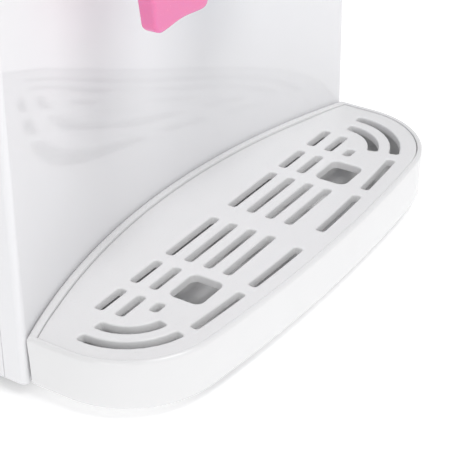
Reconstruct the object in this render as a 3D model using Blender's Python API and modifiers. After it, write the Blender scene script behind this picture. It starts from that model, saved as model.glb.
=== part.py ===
"""A countertop water dispenser: a bottle seat on top, two lever taps and a slatted drip tray.

Metres, +Z up. The front faces -Y, and +X is on the right for someone facing +Y.
The origin is the middle of the underside, on the surface that the feet stand on.
"""
from math import asin, atan2, cos, degrees, pi, radians, sin, sqrt, tan

import bmesh
import bpy
import numpy as np
from mathutils import Matrix, Vector

# Driving dimensions
BODY_HALF = 0.1416        # cabinet
FRONT_Y = -0.158          # the tray's nose
BACK_Y = 0.158            # the inlet flange and the screw heads
FOOT_H = 0.006
SKIRT_Z = 0.0062          # lower edge of every cabinet panel and of the tray
PANEL_TOP = 0.3947
TOP_Z = 0.405             # upper face of the top cover
COLLAR_TOP = 0.412
SHEET = 0.0025            # moulded wall
GAP = 0.0003              # clearance between touching pieces

# The front panel is hollow towards the user: a circle whose centre is in front of it
PANEL_APEX = -0.0554
PANEL_R = 0.384
PANEL_FILLET = 0.0028
RETURN_Y = -0.0692        # where the front panel's side returns end
COVER_Y = 0.1565          # outer face of the rear cover
COVER_RETURN_Y = 0.1480

# Drip tray and grille, from above
TRAY_HALF = 0.1397        # half of the tray's width, at its rim
TRAY_BOW_R = 0.887
TRAY_CORNER_R = 0.049
TRAY_PANEL_GAP = 0.0005
RIM = 0.0028              # width of the tray's rim
BACK_RIM = 0.0017         # how much wider it is along the panel
LEDGE = 0.0030            # what the grille rests on
RIM_TOP = 0.0320
GRILLE_TOP = 0.0314
GRILLE_T = 0.0043
SLOT_W = 0.0047
SLOT_PITCH = 0.0110
FIRST_ROW_Y = -0.0968     # front edge of the rearmost slots

# Taps
TAP_X = 0.043
TAP_Y = -0.076            # axis of the valve chamber
TAP_Z = 0.188             # axis of the shank
SPOUT_Z = 0.1635
PIN_Y, PIN_Z = -0.087, 0.218
SEAT_Z = 0.178
LEVER_W = 0.041
LEVER_LOW = 0.152
LEVER_WALL = 0.0022       # the two flanges behind a lever's paddle

# Inner works
TANK_Y = 0.030            # axis of the bottle seat and the cold tank
HOT_X, HOT_Y = -0.060, 0.060
HOT_PORT_Y = 0.082        # the hot tank's inlet
COLD_PORT_X = 0.025       # the cold tank's two outlets, left and right
HOSE_R = 0.0048
FAN_Z = 0.322
DRAIN_Z = 0.030
SWITCH_X = (0.020, 0.040) # hot and cold switches in the rear cover
SWITCH_Z = 0.050
ROCKER_Y = 0.1528
ROCKER_LEAN = -7.0

for old in list(bpy.data.objects):
    bpy.data.objects.remove(old, do_unlink=True)


def new_collection(name):
    made = bpy.data.collections.new(name)
    bpy.context.scene.collection.children.link(made)
    return made


PARTS = new_collection("water_dispenser")
CUTTERS = new_collection("cutters")


def new_material(name, colour, roughness, metallic=0.0):
    made = bpy.data.materials.new(name)
    made.use_nodes = True
    shader = made.node_tree.nodes["Principled BSDF"]
    shader.inputs["Base Color"].default_value = (*colour, 1.0)
    shader.inputs["Roughness"].default_value = roughness
    shader.inputs["Metallic"].default_value = metallic
    return made


WHITE = new_material("white_gloss_abs", (0.86, 0.86, 0.88), 0.12)
SATIN = new_material("white_satin_abs", (0.84, 0.84, 0.85), 0.35)
PINK = new_material("pink_abs", (0.84, 0.25, 0.45), 0.3)
BLUE = new_material("blue_abs", (0.30, 0.55, 0.85), 0.3)
GREY = new_material("grey_polypropylene", (0.35, 0.36, 0.38), 0.5)
BLACK = new_material("black_nylon", (0.03, 0.03, 0.03), 0.45)
RUBBER = new_material("dark_rubber", (0.05, 0.05, 0.05), 0.8)
SILICONE = new_material("clear_silicone", (0.80, 0.80, 0.78), 0.4)
STEEL = new_material("stainless_steel", (0.62, 0.62, 0.63), 0.25, 1.0)
ALUMINIUM = new_material("extruded_aluminium", (0.70, 0.71, 0.72), 0.35, 1.0)
FOAM = new_material("expanded_polystyrene", (0.88, 0.88, 0.86), 0.9)
BOARD = new_material("green_circuit_board", (0.02, 0.22, 0.10), 0.4)
CERAMIC = new_material("white_ceramic", (0.85, 0.85, 0.82), 0.5)
RED_LENS = new_material("red_lens", (0.75, 0.05, 0.05), 0.2)
BLUE_LENS = new_material("blue_lens", (0.05, 0.20, 0.80), 0.2)


# Outlines: closed lists of (x, y) points, counter-clockwise

def arc(cx, cy, r, start, end, steps):
    """Points on a circle between two angles in degrees."""
    return [(cx + r * cos(radians(a)), cy + r * sin(radians(a)))
            for a in np.linspace(start, end, steps + 1)]


def rounded(corners, steps=4):
    """A closed outline whose (x, y, radius) corners are replaced by arcs."""
    points = []
    for i, (x, y, r) in enumerate(corners):
        if r == 0:
            points.append((x, y))
            continue
        corner = Vector((x, y))
        to_last = (Vector(corners[i - 1][:2]) - corner).normalized()
        to_next = (Vector(corners[(i + 1) % len(corners)][:2]) - corner).normalized()
        half = to_last.angle(to_next) / 2
        centre = corner + (to_last + to_next).normalized() * (r / sin(half))
        first = corner + to_last * (r / tan(half)) - centre
        last = corner + to_next * (r / tan(half)) - centre
        start = degrees(atan2(first.y, first.x))
        sweep = (degrees(atan2(last.y, last.x)) - start + 180) % 360 - 180
        points += arc(centre.x, centre.y, r, start, start + sweep, steps)
    return points


def rectangle(x0, x1, y0, y1, r=0.0, steps=4):
    return rounded([(x0, y0, r), (x1, y0, r), (x1, y1, r), (x0, y1, r)], steps)


def inset(outline, distance, closed=True):
    """The outline moved to its left, which is inwards when it runs counter-clockwise."""
    p = np.array(outline)
    before = p - np.roll(p, 1, axis=0)
    after = np.roll(p, -1, axis=0) - p
    if not closed:
        before[0] = after[0]
        after[-1] = before[-1]
    n0 = np.stack([-before[:, 1], before[:, 0]], 1) / np.linalg.norm(before, axis=1)[:, None]
    n1 = np.stack([-after[:, 1], after[:, 0]], 1) / np.linalg.norm(after, axis=1)[:, None]
    reach = 1 + (n0 * n1).sum(axis=1)
    return [tuple(q) for q in p + distance * (n0 + n1) / reach[:, None]]


def ribbon(path, thickness):
    """A sheet seen on edge: the open path, and the same path moved to its left."""
    return path + inset(path, thickness, closed=False)[::-1]


def mirrored(outline):
    """The outline on the other side of the X = 0 plane, still counter-clockwise."""
    return [(-x, y) for x, y in reversed(outline)]


def panel_y(x, gap=0.0):
    """Y of the front panel's face at x, or of a parallel curve in front of it."""
    return PANEL_APEX - PANEL_R + sqrt((PANEL_R - gap) ** 2 - x * x)


def tray_outline(back_gap=TRAY_PANEL_GAP):
    """The tray from above: a bowed front, round front corners and a back that fits the panel."""
    bow_y = FRONT_Y + TRAY_BOW_R
    corner_x = TRAY_HALF - TRAY_CORNER_R
    corner_y = bow_y - sqrt((TRAY_BOW_R - TRAY_CORNER_R) ** 2 - corner_x ** 2)
    tilt = degrees(asin(corner_x / (TRAY_BOW_R - TRAY_CORNER_R)))
    front = arc(0, bow_y, TRAY_BOW_R, 270 - tilt, 270 + tilt, 14)
    right = arc(corner_x, corner_y, TRAY_CORNER_R, 270 + tilt, 360, 10)[1:]
    left = [(-x, y) for x, y in reversed(right)]
    back = [(x, panel_y(x, back_gap)) for x in np.linspace(TRAY_HALF, -TRAY_HALF, 23)]
    return front + right + back + left


def panel_path():
    """The front panel's outer face from above, from its left return to its right one."""
    inner = [(x, panel_y(x)) for x in np.linspace(-0.132, 0.132, 23)]
    corner = (BODY_HALF, panel_y(BODY_HALF))
    path = rounded([(-BODY_HALF, RETURN_Y, 0), (-corner[0], corner[1], PANEL_FILLET),
                    (*inner[0], 0), (*inner[-1], 0),
                    (*corner, PANEL_FILLET), (BODY_HALF, RETURN_Y, 0)], 5)
    return path[:7] + inner + path[9:]


def cabinet_outline():
    """The whole cabinet from above, for the top cover."""
    rear = rounded([(BODY_HALF, RETURN_Y, 0), (BODY_HALF, COVER_Y, 0.006),
                    (-BODY_HALF, COVER_Y, 0.006), (-BODY_HALF, RETURN_Y, 0)], 5)
    return panel_path() + rear[1:-1]


def slot(x0, x1, front, depth=SLOT_W, r=0.0016):
    """A slot along X; each is made on the left and the right."""
    outline = rectangle(x0, x1, front, front + depth, r, 3)
    return [outline, mirrored(outline)]


def bowed_slot(x0, x1, front, bow_r, depth=SLOT_W):
    """A slot that follows the tray's bowed front, on the left and the right."""
    centre_y = front + bow_r
    start, end = (270 + degrees(asin(x / bow_r)) for x in (x0, x1))
    outline = (arc(0, centre_y, bow_r, start, end, 6)
               + arc(0, centre_y, bow_r - depth, end, start, 6))
    return [outline, mirrored(outline)]


def ring_slot(cx, cy, r_in, r_out, start, end):
    """A curved slot round the point (cx, cy), on the left and the right."""
    outline = arc(cx, cy, r_out, start, end, 10) + arc(cx, cy, r_in, end, start, 10)
    return [outline, mirrored(outline)]


def grille_holes():
    """Every opening in the grille, in rows from the back to the front."""
    holes = []
    for row in range(4):
        holes += slot(0.0068, 0.0480, FIRST_ROW_Y - row * SLOT_PITCH)
    for row in range(2):
        holes += slot(0.0552, 0.0766, FIRST_ROW_Y - row * SLOT_PITCH)
    for row, end in enumerate((0.1036, 0.1028, 0.0919)):
        holes += slot(0.0840, end, FIRST_ROW_Y - row * SLOT_PITCH)
    holes += slot(0.0554, 0.0767, -0.1319, 0.0178, 0.0038)
    for x0, x1 in ((0.0096, 0.0502), (0.0576, 0.0931)):
        holes += bowed_slot(x0, x1, -0.1468, 0.900)
    for r_in, r_out in ((0.0199, 0.0257), (0.0319, 0.0372)):
        holes += ring_slot(0.0908, -0.1038, r_in, r_out, -76, 5)
    return holes


# Solids

def add(name, mesh, material, group=PARTS):
    if material:
        mesh.materials.clear()
        mesh.materials.append(material)
    mesh.shade_smooth()
    mesh.set_sharp_from_angle(angle=radians(35))
    made = bpy.data.objects.new(name, mesh)
    group.objects.link(made)
    if group is CUTTERS:
        made.hide_render = True
        made.display_type = 'WIRE'
    return made


def box(name, low, high, material=None, group=PARTS):
    mesh = bpy.data.meshes.new(name)
    cube = bmesh.new()
    bmesh.ops.create_cube(cube, size=1.0)
    size = Vector(high) - Vector(low)
    middle = (Vector(high) + Vector(low)) / 2
    place = Matrix.Translation(middle) @ Matrix.Diagonal((*size, 1))
    bmesh.ops.transform(cube, matrix=place, verts=cube.verts)
    cube.to_mesh(mesh)
    cube.free()
    return add(name, mesh, material, group)


def cylinder(name, radius, start, end, material=None, sides=32, group=PARTS):
    """A round bar between two points."""
    mesh = bpy.data.meshes.new(name)
    bar = bmesh.new()
    span = Vector(end) - Vector(start)
    bmesh.ops.create_cone(bar, cap_ends=True, segments=sides, radius1=radius, radius2=radius,
                          depth=span.length)
    middle = Matrix.Translation((Vector(start) + Vector(end)) / 2)
    turn = span.to_track_quat('Z', 'Y').to_matrix().to_4x4()
    bmesh.ops.transform(bar, matrix=middle @ turn, verts=bar.verts)
    bar.to_mesh(mesh)
    bar.free()
    return add(name, mesh, material, group)


def turned(name, profile, centre, material, steps=40, closed=True, group=PARTS):
    """A lathe-turned piece: (radius, z) points that run down its outer side."""
    mesh = bpy.data.meshes.new(name)
    count = len(profile)
    edges = [(i, i + 1) for i in range(count - 1)] + ([(count - 1, 0)] if closed else [])
    mesh.from_pydata([(r, 0, z) for r, z in profile], edges, [])
    made = add(name, mesh, material, group)
    made.location = (*centre, 0)
    screw = made.modifiers.new("turn", 'SCREW')
    screw.steps = screw.render_steps = steps
    screw.use_merge_vertices = True
    screw.merge_threshold = 0.00001
    return made


def slab(name, outlines, low, high, material=None, group=PARTS, axis='Z'):
    """A flat sheet with holes: 2D outlines, pulled from low to high along an axis.

    Along Z the outlines are (x, y), along Y they are (x, z), and along X they are (y, z).
    """
    curve = bpy.data.curves.new(name, 'CURVE')
    curve.dimensions = '2D'
    curve.fill_mode = 'BOTH'
    curve.extrude = (high - low) / 2
    for outline in outlines:
        spline = curve.splines.new('POLY')
        spline.points.add(len(outline) - 1)
        for point, (x, y) in zip(spline.points, outline):
            point.co = (x, y, 0, 1)
        spline.use_cyclic_u = True
    flat = bpy.data.objects.new(name + "_flat", curve)
    CUTTERS.objects.link(flat)
    bpy.context.view_layer.update()
    mesh = bpy.data.meshes.new_from_object(flat.evaluated_get(bpy.context.evaluated_depsgraph_get()))
    bpy.data.objects.remove(flat)
    turn = {'Z': Matrix.Identity(3),
            'Y': Matrix(((1, 0, 0), (0, 0, 1), (0, 1, 0))),
            'X': Matrix(((0, 0, 1), (1, 0, 0), (0, 1, 0)))}[axis]
    sheet = bmesh.new()
    sheet.from_mesh(mesh)
    bmesh.ops.translate(sheet, verts=sheet.verts, vec=(0, 0, (low + high) / 2))
    bmesh.ops.transform(sheet, matrix=turn.to_4x4(), verts=sheet.verts)
    bmesh.ops.remove_doubles(sheet, verts=sheet.verts, dist=0.00001)
    bmesh.ops.recalc_face_normals(sheet, faces=sheet.faces)
    sheet.to_mesh(mesh)
    sheet.free()
    return add(name, mesh, material, group)


def loft(name, rings, material):
    """A skin over (outline, z) rings of equal point counts, capped at the first and the last."""
    mesh = bpy.data.meshes.new(name)
    skin = bmesh.new()
    rows = [[skin.verts.new((x, y, z)) for x, y in outline] for outline, z in rings]
    count = len(rows[0])
    for lower, upper in zip(rows, rows[1:]):
        for i in range(count):
            k = (i + 1) % count
            skin.faces.new((lower[i], lower[k], upper[k], upper[i]))
    skin.faces.new(rows[0][::-1])
    skin.faces.new(rows[-1])
    bmesh.ops.recalc_face_normals(skin, faces=skin.faces)
    skin.to_mesh(mesh)
    skin.free()
    return add(name, mesh, material)


def hose(name, points, radius, material):
    """A hose through a few points: straight at both ends, and smooth between its second and last but one."""
    knots = np.array(points)
    times = np.linspace(0, len(knots) - 3, 14)
    curve = bpy.data.curves.new(name, 'CURVE')
    curve.dimensions = '3D'
    curve.bevel_depth = radius
    curve.bevel_resolution = 2
    curve.use_fill_caps = True
    places = [knots[0]]
    for t in times:
        i = min(int(t), len(knots) - 4)
        u = t - i
        a, b, c, d = knots[i:i + 4]
        places.append(0.5 * (2 * b + (c - a) * u + (2 * a - 5 * b + 4 * c - d) * u ** 2
                             + (3 * b - a - 3 * c + d) * u ** 3))
    places.append(knots[-1])
    spline = curve.splines.new('POLY')
    spline.points.add(len(places) - 1)
    for point, place in zip(spline.points, places):
        point.co = (*place, 1)
    curve.materials.append(material)
    made = bpy.data.objects.new(name, curve)
    PARTS.objects.link(made)
    return made


def put_origin(piece, place):
    """Puts a piece's origin on its joint's axis, and leaves its shape where it is."""
    piece.data.transform(Matrix.Translation(-Vector(place)))
    piece.location = place


def boolean(piece, tool, operation):
    step = piece.modifiers.new(tool.name, 'BOOLEAN')
    step.operation = operation
    step.object = tool
    return piece


def cut_box(piece, low, high):
    tool = box("cut_" + piece.name, low, high, group=CUTTERS)
    return boolean(piece, tool, 'DIFFERENCE')


def cut_round(piece, radius, start, end, sides=24):
    tool = cylinder("cut_" + piece.name, radius, start, end, sides=sides, group=CUTTERS)
    return boolean(piece, tool, 'DIFFERENCE')


def join_box(piece, low, high):
    tool = box("join_" + piece.name, low, high, group=CUTTERS)
    return boolean(piece, tool, 'UNION')


def join_round(piece, radius, start, end, sides=32):
    tool = cylinder("join_" + piece.name, radius, start, end, sides=sides, group=CUTTERS)
    return boolean(piece, tool, 'UNION')


# Cabinet

def make_base():
    """The base plate, with a tongue that carries the drip tray, and its four feet."""
    side = BODY_HALF - SHEET - GAP
    outline = rounded([(-0.100, -0.146, 0.012), (0.100, -0.146, 0.012), (0.100, -0.0500, 0),
                       (side, -0.0500, 0), (side, 0.1535, 0.004), (-side, 0.1535, 0.004),
                       (-side, -0.0500, 0), (-0.100, -0.0500, 0)])
    slab("base_plate", [outline], FOOT_H, 0.0088, GREY)
    for name, x, y in (("front_left", -0.080, -0.128), ("front_right", 0.080, -0.128),
                       ("rear_left", -0.118, 0.130), ("rear_right", 0.118, 0.130)):
        foot = [(0.0085, FOOT_H - GAP), (0.0100, 0.0008), (0.0092, 0.0), (0.0, 0.0)]
        turned("foot_" + name, [(0.0, FOOT_H - GAP)] + foot, (x, y), RUBBER, 24, closed=False)


def make_front_panel():
    """The hollow front panel, with a flat boss and a hole for each tap."""
    panel = slab("front_panel", [ribbon(panel_path(), SHEET)], SKIRT_Z, PANEL_TOP, WHITE)
    cut_box(panel, (-0.104, -0.09, 0.0), (0.104, -0.04, 0.0092))
    for x in (-TAP_X, TAP_X):
        join_round(panel, 0.017, (x, -0.0625, TAP_Z), (x, -0.0555, TAP_Z))
        cut_round(panel, 0.0075, (x, -0.07, TAP_Z), (x, -0.04, TAP_Z))
    for x in (-0.012, 0.012):
        cut_round(panel, 0.0033, (x, -0.07, 0.330), (x, -0.04, 0.330), 20)


def make_sides():
    """The side panels, each with a row of vent slots near the back."""
    for name, side in (("left", -1), ("right", 1)):
        outline = rectangle(RETURN_Y + GAP, COVER_RETURN_Y - GAP, SKIRT_Z, PANEL_TOP)
        vents = [rectangle(0.085, 0.128, z, z + 0.004, 0.0018, 3)
                 for z in np.arange(0.060, 0.125, 0.011)]
        low, high = sorted((side * BODY_HALF, side * (BODY_HALF - SHEET)))
        slab("side_panel_" + name, [outline] + vents, low, high, WHITE, axis='X')


def make_rear_cover():
    """The rear cover: vents behind the fan, and holes for the inlet, switches and drain."""
    path = rounded([(BODY_HALF, COVER_RETURN_Y, 0), (BODY_HALF, COVER_Y, 0.006),
                    (-BODY_HALF, COVER_Y, 0.006), (-BODY_HALF, COVER_RETURN_Y, 0)], 5)
    cover = slab("rear_cover", [ribbon(path, SHEET)], SKIRT_Z, PANEL_TOP, SATIN)
    for row in range(7):
        z = FAN_Z - 0.036 + row * 0.012
        reach = sqrt(0.039 ** 2 - (z - FAN_Z) ** 2)
        vent = slab("cut_vent", [rectangle(-reach, reach, z - 0.0024, z + 0.0024, 0.0022, 3)],
                    0.14, 0.17, group=CUTTERS, axis='Y')
        boolean(cover, vent, 'DIFFERENCE')
    cut_box(cover, (0.0617, 0.14, 0.0397), (0.0903, 0.17, 0.0603))
    for x in SWITCH_X:
        cut_box(cover, (x - 0.0068, 0.14, SWITCH_Z - 0.0098), (x + 0.0068, 0.17, SWITCH_Z + 0.0098))
    cut_round(cover, 0.0093, (HOT_X, 0.14, DRAIN_Z), (HOT_X, 0.17, DRAIN_Z))
    for n, (x, z) in enumerate(((-0.124, 0.030), (0.124, 0.030), (-0.124, 0.370), (0.124, 0.370)), 1):
        cut_round(cover, 0.0022, (x, 0.14, z), (x, 0.17, z), 16)
        screw = cylinder("rear_screw_%d" % n, 0.0040, (x, COVER_Y + GAP, z), (x, BACK_Y, z), STEEL, 20)
        join_round(screw, 0.0018, (x, 0.142, z), (x, COVER_Y + 2 * GAP, z), 12)


def make_top_cover():
    """The top cover: a shallow lid with the bottle seat's hole."""
    outline = cabinet_outline()
    inner = inset(outline, SHEET)
    rings = [(inner, TOP_Z - 0.003), (inner, PANEL_TOP + GAP), (outline, PANEL_TOP + GAP),
             (outline, TOP_Z - 0.0030), (inset(outline, 0.0007), TOP_Z - 0.0010),
             (inset(outline, 0.0024), TOP_Z)]
    cover = loft("top_cover", rings, WHITE)
    cut_round(cover, 0.0655, (0, TANK_Y, 0.39), (0, TANK_Y, 0.42), 40)


# Bottle seat and water path

def make_bottle_seat():
    """The lift-out collar that the bottle's shoulder sits in, its feed probe and its seal."""
    centre = (0, TANK_Y)
    collar = [(0.0715, COLLAR_TOP), (0.0735, 0.4105), (0.0735, TOP_Z + GAP), (0.0650, TOP_Z + GAP),
              (0.0650, 0.3763), (0.0530, 0.3763), (0.0530, 0.3660), (0.0215, 0.3520),
              (0.0215, 0.3490), (0.0185, 0.3490), (0.0185, 0.3545), (0.0505, 0.3690),
              (0.0505, 0.3788), (0.0620, 0.3788), (0.0620, 0.4040), (0.0665, COLLAR_TOP)]
    turned("bottle_collar", collar, centre, SATIN, 36)
    probe = [(0.0, 0.3960), (0.0040, 0.3945), (0.0070, 0.3880), (0.0070, 0.3587), (0.0220, 0.3587),
             (0.0220, 0.3566), (0.0070, 0.3566), (0.0070, 0.3460), (0.0045, 0.3460),
             (0.0045, 0.3860), (0.0, 0.3900)]
    spike = turned("feed_probe", probe, centre, SATIN, 28, closed=False)
    cut_box(spike, (-0.01, TANK_Y - 0.0022, 0.366), (0.01, TANK_Y + 0.0022, 0.380))
    turned("collar_seal", [(0.0630, 0.3760), (0.0630, 0.3723), (0.0568, 0.3723), (0.0568, 0.3760)],
           centre, SILICONE, 28)


def make_nipple(tank, x, y, low, high, inner):
    """A hose nipple on a tank: the bore runs on to z = inner, inside the tank."""
    join_round(tank, 0.0060, (x, y, low), (x, y, high), 20)
    start, end = (low - 0.001, inner) if inner > high else (inner, high + 0.001)
    cut_round(tank, 0.0038, (x, y, start), (x, y, end), 16)


def make_cold_side():
    """The cold tank in its foam jacket, and the cooling stack behind it."""
    centre = (0, TANK_Y)
    vessel = [(0.0, 0.2636), (0.0565, 0.2636), (0.0565, 0.3720), (0.0620, 0.3720),
              (0.0620, 0.3705), (0.0580, 0.3705), (0.0580, 0.2620), (0.0, 0.2620)]
    tank = turned("cold_tank", vessel, centre, STEEL, 32, closed=False)
    for x in (-COLD_PORT_X, COLD_PORT_X):
        make_nipple(tank, x, TANK_Y, 0.2520, 0.2628, 0.270)
    foam = [(0.0680, 0.3680), (0.0680, 0.2660), (0.0583, 0.2660), (0.0583, 0.3680)]
    jacket = turned("cold_tank_jacket", foam, centre, FOAM, 32)
    cut_box(jacket, (-0.0203, 0.070, 0.3017), (0.0203, 0.110, 0.3423))
    box("cold_block", (-0.020, 0.0883, 0.302), (0.020, 0.1010, 0.342), ALUMINIUM)
    box("cooling_module", (-0.020, 0.1013, 0.302), (0.020, 0.1053, 0.342), CERAMIC)
    comb = [(-0.045, 0.1056), (0.045, 0.1056)]
    for i in range(11, -1, -1):
        x = -0.04125 + 0.0075 * i
        comb += [(x + 0.00375, 0.1100), (x + 0.0007, 0.1100), (x + 0.0007, 0.1260),
                 (x - 0.0007, 0.1260), (x - 0.0007, 0.1100)]
    slab("heat_sink", [comb + [(-0.045, 0.1100)]], 0.285, 0.360, ALUMINIUM)


def make_fan():
    """The fan: a frame with a motor bridge at its back, and a seven-bladed rotor."""
    frame = slab("fan_frame", [rectangle(-0.040, 0.040, FAN_Z - 0.040, FAN_Z + 0.040, 0.004),
                               arc(0, FAN_Z, 0.0375, 0, 352.5, 47)], 0.1264, 0.1414, BLACK, axis='Y')
    join_box(frame, (-0.039, 0.1394, FAN_Z - 0.003), (0.039, 0.1414, FAN_Z + 0.003))
    join_box(frame, (-0.003, 0.1394, FAN_Z - 0.039), (0.003, 0.1414, FAN_Z + 0.039))
    join_round(frame, 0.0130, (0, 0.1390, FAN_Z), (0, 0.1414, FAN_Z), 24)
    rotor = cylinder("fan_rotor", 0.0130, (0, 0.1275, 0), (0, 0.1385, 0), BLACK, 28)
    rotor.location = (0, 0, FAN_Z)
    for n in range(7):
        blade = box("join_blade", (-0.0090, -0.0007, 0.0), (0.0090, 0.0007, 0.0240), group=CUTTERS)
        place = Matrix.Translation((0, 0.133, FAN_Z)) @ Matrix.Rotation(2 * pi * n / 7, 4, 'Y')
        blade.matrix_world = place @ Matrix.Translation((0, 0, 0.0120)) @ Matrix.Rotation(radians(32), 4, 'Z')
        boolean(rotor, blade, 'UNION')


def make_hot_side():
    """The hot tank in its jacket on a bracket, its thermostat, and the drain at the back."""
    centre = (HOT_X, HOT_Y)
    shell = [(0.0, 0.1700), (0.0420, 0.1700), (0.0420, 0.0700), (0.0, 0.0700)]
    room = [(0.0, 0.1685), (0.0400, 0.1685), (0.0400, 0.0720), (0.0, 0.0720)]
    tank = turned("hot_tank", shell, centre, STEEL, 28, closed=False)
    inside = turned("cut_hot_tank", room, centre, None, 28, closed=False, group=CUTTERS)
    boolean(tank, inside, 'DIFFERENCE')
    for y in (HOT_Y, HOT_PORT_Y):
        make_nipple(tank, HOT_X, y, 0.1692, 0.1780, 0.160)
    cut_round(tank, 0.0045, (HOT_X, HOT_Y + 0.012, 0.0600), (HOT_X, HOT_Y + 0.012, 0.0800), 16)
    turned("hot_tank_jacket", [(0.0500, 0.1660), (0.0500, 0.0740), (0.0423, 0.0740), (0.0423, 0.1660)],
           centre, FOAM, 28)
    left, right, top = HOT_X - 0.040, HOT_X + 0.040, 0.0697
    legs = [(left - 0.012, 0.0091), (left + 0.002, 0.0091), (left + 0.002, top - 0.002),
            (right - 0.002, top - 0.002), (right - 0.002, 0.0091), (right + 0.012, 0.0091),
            (right + 0.012, 0.0111), (right, 0.0111), (right, top), (left, top), (left, 0.0111),
            (left - 0.012, 0.0111)]
    bracket = slab("tank_bracket", [legs], HOT_Y - 0.025, HOT_Y + 0.025, STEEL, axis='Y')
    cut_round(bracket, 0.0075, (HOT_X, HOT_Y + 0.012, 0.06), (HOT_X, HOT_Y + 0.012, 0.08))
    cylinder("thermostat", 0.0080, (HOT_X + 0.022, HOT_Y, 0.1703), (HOT_X + 0.022, HOT_Y, 0.1760), BLACK, 24)
    pipe = [(0.0090, 0.0), (0.0090, -0.0150), (0.0065, -0.0150), (0.0065, -0.0500), (0.0045, -0.0500),
            (0.0045, 0.0)]
    spout = turned("drain_spout", pipe, (0, 0), SATIN, 28)
    spout.matrix_world = Matrix.Translation((HOT_X, 0.1525, DRAIN_Z)) @ Matrix.Rotation(-pi / 2, 4, 'X')
    plug = cylinder("drain_plug", 0.0088, (HOT_X, 0.1528, DRAIN_Z), (HOT_X, 0.1580, DRAIN_Z), RUBBER, 28)
    join_round(plug, 0.0041, (HOT_X, 0.140, DRAIN_Z), (HOT_X, 0.1540, DRAIN_Z), 20)
    put_origin(plug, (HOT_X, 0.1528, DRAIN_Z))


def make_hoses():
    """Hoses from the tanks to the taps, from the cold tank to the hot one, and to the drain."""
    hose("cold_tap_hose", [(COLD_PORT_X, TANK_Y, 0.2517), (COLD_PORT_X, TANK_Y, 0.2440),
                           (0.036, 0.012, 0.215), (TAP_X, -0.0180, TAP_Z), (TAP_X, -0.0297, TAP_Z)],
         HOSE_R, SILICONE)
    hose("hot_supply_hose", [(-COLD_PORT_X, TANK_Y, 0.2517), (-COLD_PORT_X, TANK_Y, 0.2440),
                             (-0.043, 0.062, 0.218), (HOT_X, HOT_PORT_Y, 0.1880),
                             (HOT_X, HOT_PORT_Y, 0.1783)], HOSE_R, SILICONE)
    hose("hot_tap_hose", [(HOT_X, HOT_Y, 0.1783), (HOT_X, HOT_Y, 0.1840), (-0.055, 0.030, 0.204),
                          (-TAP_X, -0.0180, TAP_Z), (-TAP_X, -0.0297, TAP_Z)], HOSE_R, SILICONE)
    hose("drain_hose", [(HOT_X, HOT_Y + 0.012, 0.0694), (HOT_X, HOT_Y + 0.012, 0.0600), (HOT_X, 0.082, 0.036),
                        (HOT_X, 0.0950, DRAIN_Z), (HOT_X, 0.1022, DRAIN_Z)], HOSE_R, SILICONE)


# Taps

def make_tap(name, x, lever_material):
    """One lever tap: body, gasket, nut, bonnet, stem, spring, lever and pin."""
    body = cylinder("tap_body_" + name, 0.0090, (x, TAP_Y, 0.1720), (x, TAP_Y, 0.2060), WHITE)
    join_round(body, 0.0070, (x, TAP_Y, SPOUT_Z), (x, TAP_Y, 0.1730), 28)
    join_round(body, 0.0070, (x, TAP_Y, TAP_Z), (x, -0.0300, TAP_Z), 28)
    join_round(body, 0.0150, (x, -0.0676, TAP_Z), (x, -0.0646, TAP_Z), 36)
    cut_round(body, 0.0062, (x, TAP_Y, SEAT_Z), (x, TAP_Y, 0.2100), 24)
    cut_round(body, 0.0040, (x, TAP_Y, 0.1600), (x, TAP_Y, SEAT_Z + 0.001), 20)
    cut_round(body, 0.0040, (x, TAP_Y + 0.003, TAP_Z), (x, -0.0290, TAP_Z), 20)
    gasket = cylinder("tap_gasket_" + name, 0.0150, (x, -0.0643, TAP_Z), (x, -0.0628, TAP_Z), SILICONE, 36)
    cut_round(gasket, 0.0074, (x, -0.07, TAP_Z), (x, -0.06, TAP_Z), 28)
    nut = cylinder("tap_nut_" + name, 0.0125, (x, -0.0532, TAP_Z), (x, -0.0472, TAP_Z), BLACK, 6)
    cut_round(nut, 0.0073, (x, -0.06, TAP_Z), (x, -0.04, TAP_Z), 28)
    cap = [(0.0100, 0.2120), (0.0100, 0.2063), (0.0028, 0.2063), (0.0028, 0.2120)]
    bonnet = turned("tap_bonnet_" + name, cap, (x, TAP_Y), WHITE, 32)
    lug = [(-0.0910, 0.2160), (-0.0855, 0.2070), (-0.0820, 0.2070), (-0.0820, 0.2200), (-0.0840, 0.2220),
           (-0.0890, 0.2220), (-0.0910, 0.2200)]
    tool = slab("join_lug", [lug], x - 0.0055, x + 0.0055, group=CUTTERS, axis='X')
    boolean(bonnet, tool, 'UNION')
    cut_round(bonnet, 0.0018, (x - 0.01, PIN_Y, PIN_Z), (x + 0.01, PIN_Y, PIN_Z), 16)
    stem = [(0.0, 0.2216), (0.0045, 0.2216), (0.0045, 0.2198), (0.0025, 0.2198), (0.0025, 0.1815),
            (0.0057, 0.1815), (0.0057, SEAT_Z + GAP), (0.0, SEAT_Z + GAP)]
    turned("valve_stem_" + name, stem, (x, TAP_Y), SILICONE, 20, closed=False)
    make_spring("valve_spring_" + name, x, 0.1825, 0.2053)
    make_lever("lever_" + name, x, lever_material)
    cylinder("lever_pin_" + name, 0.0015, (x - 0.0200, PIN_Y, PIN_Z), (x + 0.0200, PIN_Y, PIN_Z), STEEL, 14)


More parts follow.
